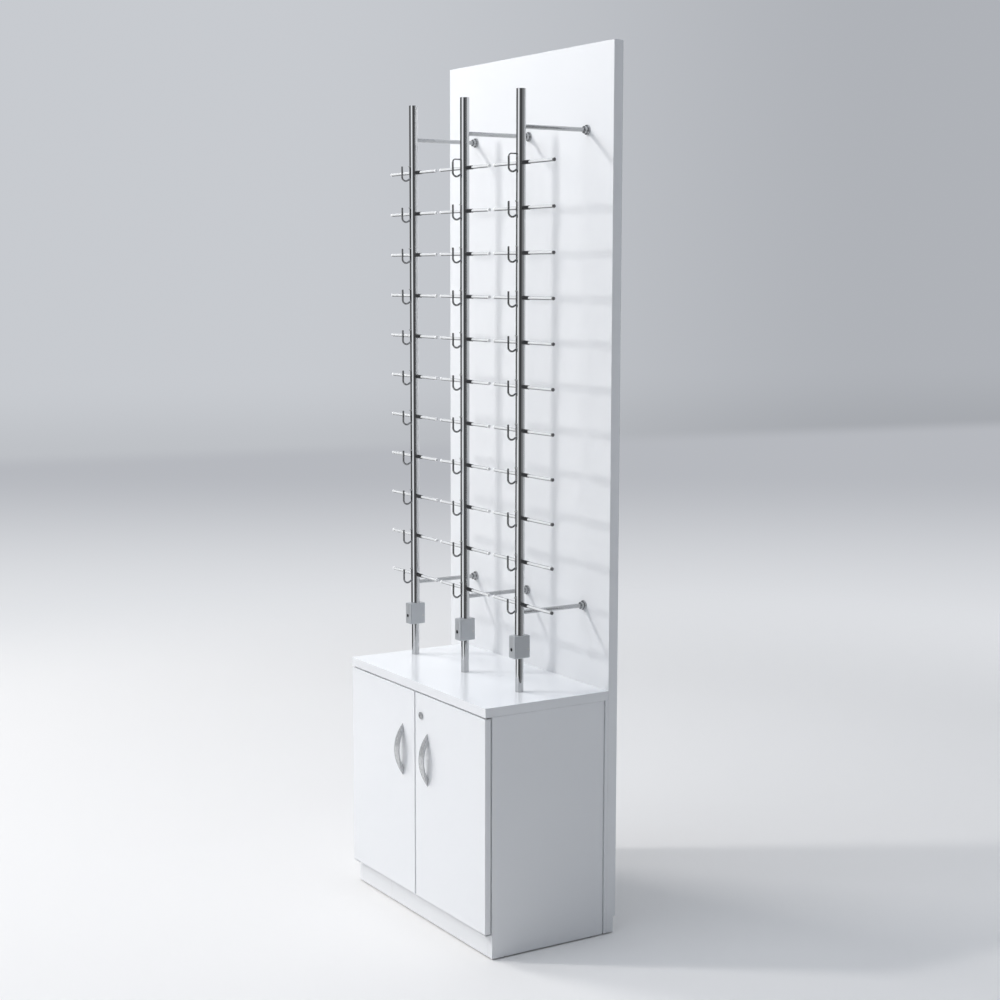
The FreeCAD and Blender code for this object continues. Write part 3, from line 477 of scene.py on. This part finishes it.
BOX_SCREW_DIAMETER, BOX_SCREW_BEHIND_AXIS = 0.005, 0.015
PANEL_SCREW_RADIUS, PANEL_FACE_DIAMETER = 0.0045, 0.007
HANDLE_SCREW_RADIUS = 0.004
CAM_SCREW_DIAMETER = 0.0075


def vectors(box):
    return [Vector(corner) for corner in box]


def add_screw_faces():
    for column in COLUMNS:
        low, high = vectors(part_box(column + "_lock_box"))
        y = (low.y + high.y) / 2 + BOX_SCREW_BEHIND_AXIS
        barrel_low, barrel_high = vectors(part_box(column + "_key_barrel"))
        place = Vector((high.x, y, (barrel_low.z + barrel_high.z) / 2))
        screw_face(column + "_box_screw_face", place, (1, 0, 0), BOX_SCREW_DIAMETER, "stand")
    low, high = vectors(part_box("panel_screws"))
    inset = PANEL_SCREW_RADIUS
    for i, x in enumerate((low.x + inset, high.x - inset)):
        for j, z in enumerate((low.z + inset, high.z - inset)):
            name = "panel_screw_face_%d" % (2 * i + j + 1)
            screw_face(name, Vector((x, low.y, z)), (0, -1, 0), PANEL_FACE_DIAMETER, "stand")
    for side in ("left", "right"):
        low, high = vectors(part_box(side + "_handle_screws"))
        for i, z in enumerate((low.z + HANDLE_SCREW_RADIUS, high.z - HANDLE_SCREW_RADIUS)):
            name = "%s_handle_screw_face_%d" % (side, i + 1)
            place = Vector(((low.x + high.x) / 2, high.y, z))
            screw_face(name, place, (0, 1, 0), 2 * HANDLE_SCREW_RADIUS, side + "_door_body")
    low, high = vectors(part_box("door_lock_plug"))
    cam_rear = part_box("door_lock_cam")[1][Y]
    place = Vector(((low.x + high.x) / 2, cam_rear, (low.z + high.z) / 2))
    screw_face("cam_screw_face", place, (0, 1, 0), CAM_SCREW_DIAMETER, "door_lock_cam_body")


add_screw_faces()


# Camera

CAMERA_PLACE = Vector((3.69032, -2.20945, 1.54026))
CAMERA_YAW, CAMERA_PITCH, CAMERA_ROLL = (math.radians(turn) for turn in (58.17, 7.08, 0.097))
CAMERA_LENS, CAMERA_SENSOR, CAMERA_FAR = 64.88, 36.0, 200.0


def add_camera():
    forward = Vector((-math.sin(CAMERA_YAW) * math.cos(CAMERA_PITCH),
                      math.cos(CAMERA_YAW) * math.cos(CAMERA_PITCH), -math.sin(CAMERA_PITCH)))
    right = Vector((math.cos(CAMERA_YAW), math.sin(CAMERA_YAW), 0))
    up = right.cross(forward)
    right, up = (math.cos(CAMERA_ROLL) * right + math.sin(CAMERA_ROLL) * up,
                 math.cos(CAMERA_ROLL) * up - math.sin(CAMERA_ROLL) * right)
    turned = Matrix((right, up, -forward)).transposed().to_4x4()
    data = bpy.data.cameras.new("camera")
    data.lens = CAMERA_LENS
    data.sensor_width = CAMERA_SENSOR
    data.clip_end = CAMERA_FAR
    camera = add_object("camera", data)
    camera.matrix_world = Matrix.Translation(CAMERA_PLACE) @ turned
    bpy.context.scene.camera = camera


# Floor and wall

WALL_FOOT_LEFT, WALL_FOOT_RIGHT = Vector((-10.4, 1.9, 0)), Vector((-8.96, 11.5, 0))
WALL_ALONG = (WALL_FOOT_RIGHT - WALL_FOOT_LEFT).normalized()
WALL_BEND, WALL_BEND_STEPS = 0.35, 8
SWEEP_HALF_WIDTH, SWEEP_HEIGHT = 60.0, 30.0
FLOOR_REACHES = (-60.0, -20.0, -6.0)

VIEW_ALONG = (-math.sin(CAMERA_YAW), math.cos(CAMERA_YAW), 0.0)
VIEW_RIGHT = (math.cos(CAMERA_YAW), math.sin(CAMERA_YAW), 0.0)
ACROSS_FROM, ACROSS_TO = -2.0, 4.0  # the range over which a left tone turns into a right one
AWAY_FROM, AWAY_TO = 1.0, 10.0
BACKDROP_FROM, BACKDROP_FULL = 2.4, 4.6
WALL_FULL, WALL_SHADE_TOP, WALL_SHADE_SHARE = 0.12, 0.7, 0.11
CEILING_FROM, CEILING_FULL = 5.5, 8.0
MATT_TONES = (0.82, 0.807, 0.79, 1), (0.83, 0.817, 0.80, 1)
NEAR_TONES = (0.86, 0.875, 0.9, 1), (0.78, 0.795, 0.825, 1)  # left and right
WALL_TONES = (0.575, 0.595, 0.63, 1), (0.43, 0.447, 0.48, 1)
FAR_TONE, SHADE_TONE, CEILING_TONE = (0.47, 0.485, 0.52, 1), grey(0.0), grey(0.1, blue=0.02)


def stage_material():
    """Matt, pale floor round the object; further out and up the wall an even backdrop."""
    s = Shader("sweep", Roughness=0.9, Specular_IOR_Level=0.1)
    s.set("Base Color", s.mix(s.noise(0.8, detail=2.0), *MATT_TONES))
    across = s.span(s.dot(s.place, VIEW_RIGHT), ACROSS_FROM, ACROSS_TO)
    away = s.span(s.dot(s.place, VIEW_ALONG), AWAY_FROM, AWAY_TO)
    height = s.axis(Z)
    wall = s.mix(across, *WALL_TONES)
    wall = s.mix(s.span(height, WALL_SHADE_TOP, 0.0, 0.0, WALL_SHADE_SHARE), wall, SHADE_TONE)
    floor = s.mix(away, s.mix(across, *NEAR_TONES), FAR_TONE)
    tone = s.mix(s.span(height, 0.0, WALL_FULL), floor, wall)
    tone = s.mix(s.span(height, CEILING_FROM, CEILING_FULL), tone, CEILING_TONE)
    glow = s.node("ShaderNodeEmission")
    s.link(tone, glow.inputs["Color"])
    rays = s.node("ShaderNodeLightPath")
    seen = s.math("ADD", rays.outputs["Is Camera Ray"], rays.outputs["Is Glossy Ray"], clamp=True)
    seen = s.math("ADD", seen, rays.outputs["Is Transmission Ray"], clamp=True)
    distance = s.node("ShaderNodeVectorMath", operation="LENGTH")
    s.link(s.place, distance.inputs[0])
    far = s.span(distance.outputs["Value"], BACKDROP_FROM, BACKDROP_FULL)
    both = s.blend(s.math("MULTIPLY", seen, far), s.bsdf.outputs[0], glow.outputs[0])
    output = next(n for n in s.tree.nodes if n.type == "OUTPUT_MATERIAL")
    s.link(both, output.inputs["Surface"])
    return s.material


def mesh_object(name, vertices, faces, material):
    mesh = bpy.data.meshes.new(name)
    mesh.from_pydata(vertices, [], faces)
    mesh.materials.append(material)
    return add_object(name, mesh)


def add_sweep():
    """Floor and wall in one sheet, joined by a narrow curve."""
    out = Vector((-WALL_ALONG.y, WALL_ALONG.x, 0))
    centre = (WALL_FOOT_LEFT + WALL_FOOT_RIGHT) / 2
    profile = [(reach, 0.0) for reach in FLOOR_REACHES]
    for i in range(WALL_BEND_STEPS + 1):
        turn = math.pi / 2 * i / WALL_BEND_STEPS
        profile.append((WALL_BEND * math.sin(turn), WALL_BEND * (1 - math.cos(turn))))
    profile.append((WALL_BEND, SWEEP_HEIGHT))
    vertices = [centre + WALL_ALONG * side + out * reach + Vector((0, 0, height))
                for side in (-SWEEP_HALF_WIDTH, SWEEP_HALF_WIDTH) for reach, height in profile]
    count = len(profile)
    faces = [(i, i + 1, count + i + 1, count + i) for i in range(count - 1)]
    sweep = mesh_object("sweep", vertices, faces, stage_material())
    sweep.data.shade_smooth()


# A ring of studio cards that only reflections see

CARDS = (  # the turn round the object, counted from +X, and the brightness there
    (-180, 0.25), (-165, 0.2), (-150, 0.25), (-140, 0.1), (-132, 0.02), (-118, 0.02), (-108, 0.6),
    (-98, 1.3), (-74, 1.4), (-62, 0.35), (-50, 0.12), (-34, 0.06), (-14, 0.12), (3, 0.27),
    (28, 0.38), (60, 0.46), (100, 0.56), (125, 0.95), (165, 0.95), (180, 0.25))
RING_RADIUS, RING_BOTTOM, RING_TOP, RING_STEPS = 2.4, -0.5, 5.0, 360
RING_RED, RING_BLUE = 0.98, 1.03


def card_level(turn):
    return next(a[1] + (b[1] - a[1]) * (turn - a[0]) / (b[0] - a[0])
                for a, b in zip(CARDS, CARDS[1:]) if a[0] <= turn <= b[0])


def add_card_ring():
    material = bpy.data.materials.new("studio_cards")
    cards = Tree(material, empty=True)
    level = cards.node("ShaderNodeAttribute", attribute_name="level")
    glow = cards.node("ShaderNodeEmission")
    cards.link(level.outputs["Color"], glow.inputs["Color"])
    output = cards.node("ShaderNodeOutputMaterial")
    cards.link(glow.outputs[0], output.inputs["Surface"])
    vertices, faces, levels = [], [], []
    for i in range(RING_STEPS):
        turn = -180 + 360 * i / RING_STEPS
        along = Vector((math.cos(math.radians(turn)), math.sin(math.radians(turn)), 0))
        vertices += [along * RING_RADIUS + Vector((0, 0, z)) for z in (RING_BOTTOM, RING_TOP)]
        levels += [card_level(turn)] * 2
        j = (i + 1) % RING_STEPS
        faces.append((2 * i, 2 * i + 1, 2 * j + 1, 2 * j))
    ring = mesh_object("studio_cards", vertices, faces, material)
    colours = ring.data.color_attributes.new("level", "FLOAT_COLOR", "POINT")
    for point, value in zip(colours.data, levels):
        point.color = (value * RING_RED, value, value * RING_BLUE, 1.0)
    ring.visible_camera = False
    ring.visible_diffuse = False
    ring.visible_transmission = False
    ring.visible_shadow = False
    ring.visible_volume_scatter = False


# Light

WORLD_UP = tuple(Vector((-0.18, -0.12, 1.0)).normalized())
WORLD_POWER, WORLD_STRENGTH, WORLD_BASE = 3.0, 1.9, 0.045
WORLD_LIGHT, WORLD_SEEN = (0.875, 0.935, 1.03, 1), (0.53, 0.55, 0.575, 1)


def add_world():
    """Soft light, strongest from straight above; the camera sees an even, pale grey."""
    world = bpy.data.worlds.new("studio")
    bpy.context.scene.world = world
    w = Tree(world, empty=True)
    direction = w.node("ShaderNodeTexCoord").outputs["Generated"]
    height = w.math("MAXIMUM", w.dot(direction, WORLD_UP), 0.0)
    strength = w.math("MULTIPLY", w.math("POWER", height, WORLD_POWER), WORLD_STRENGTH)
    light, seen = w.node("ShaderNodeBackground"), w.node("ShaderNodeBackground")
    w.link(WORLD_LIGHT, light.inputs["Color"])
    w.link(w.math("ADD", strength, WORLD_BASE), light.inputs["Strength"])
    w.link(WORLD_SEEN, seen.inputs["Color"])
    rays = w.node("ShaderNodeLightPath")
    both = w.blend(rays.outputs["Is Camera Ray"], light.outputs[0], seen.outputs[0])
    w.link(both, w.node("ShaderNodeOutputWorld").inputs["Surface"])


KEY_LAMPS = (("key_front", 33, 0.6, 208.0), ("key_side", 60, 2.2, 216.0))  # turn, size and power
KEY_COLOUR = (1.0, 0.985, 0.975)
KEY_TARGET, KEY_DISTANCE, KEY_ELEVATION = Vector((0.0, 0.0, 1.0)), 8.0, math.radians(30)
FILL_PLACE, FILL_TARGET = Vector((-0.6, -1.3, 2.9)), Vector((-0.05, 0.16, 1.6))
FILL_SIZE, FILL_POWER, FILL_COLOUR = (2.0, 1.2), 10.5, (1, 1, 1)


def add_area(name, place, target, size, power, colour):
    data = bpy.data.lights.new(name, "AREA")
    data.shape = "RECTANGLE"
    data.size, data.size_y = size
    data.energy = power
    data.color = colour
    lamp = add_object(name, data)
    lamp.location = place
    lamp.rotation_mode = "QUATERNION"
    lamp.rotation_quaternion = (target - place).to_track_quat("-Z", "Y")
    lamp.visible_camera = False
    lamp.visible_glossy = False


def add_lamps():
    """Two key lamps to the left of the front, and a weak one over the tall panel's front."""
    level, rise = math.cos(KEY_ELEVATION), math.sin(KEY_ELEVATION)
    for name, degrees, size, power in KEY_LAMPS:
        turn = math.radians(degrees)
        towards = Vector((-math.sin(turn) * level, -math.cos(turn) * level, rise))
        place = KEY_TARGET + towards * KEY_DISTANCE
        add_area(name, place, KEY_TARGET, (size, size), power, KEY_COLOUR)
    add_area("upper_fill", FILL_PLACE, FILL_TARGET, FILL_SIZE, FILL_POWER, FILL_COLOUR)


add_camera()
add_sweep()
add_card_ring()
add_world()
add_lamps()
bpy.context.scene.view_settings.view_transform = "Standard"
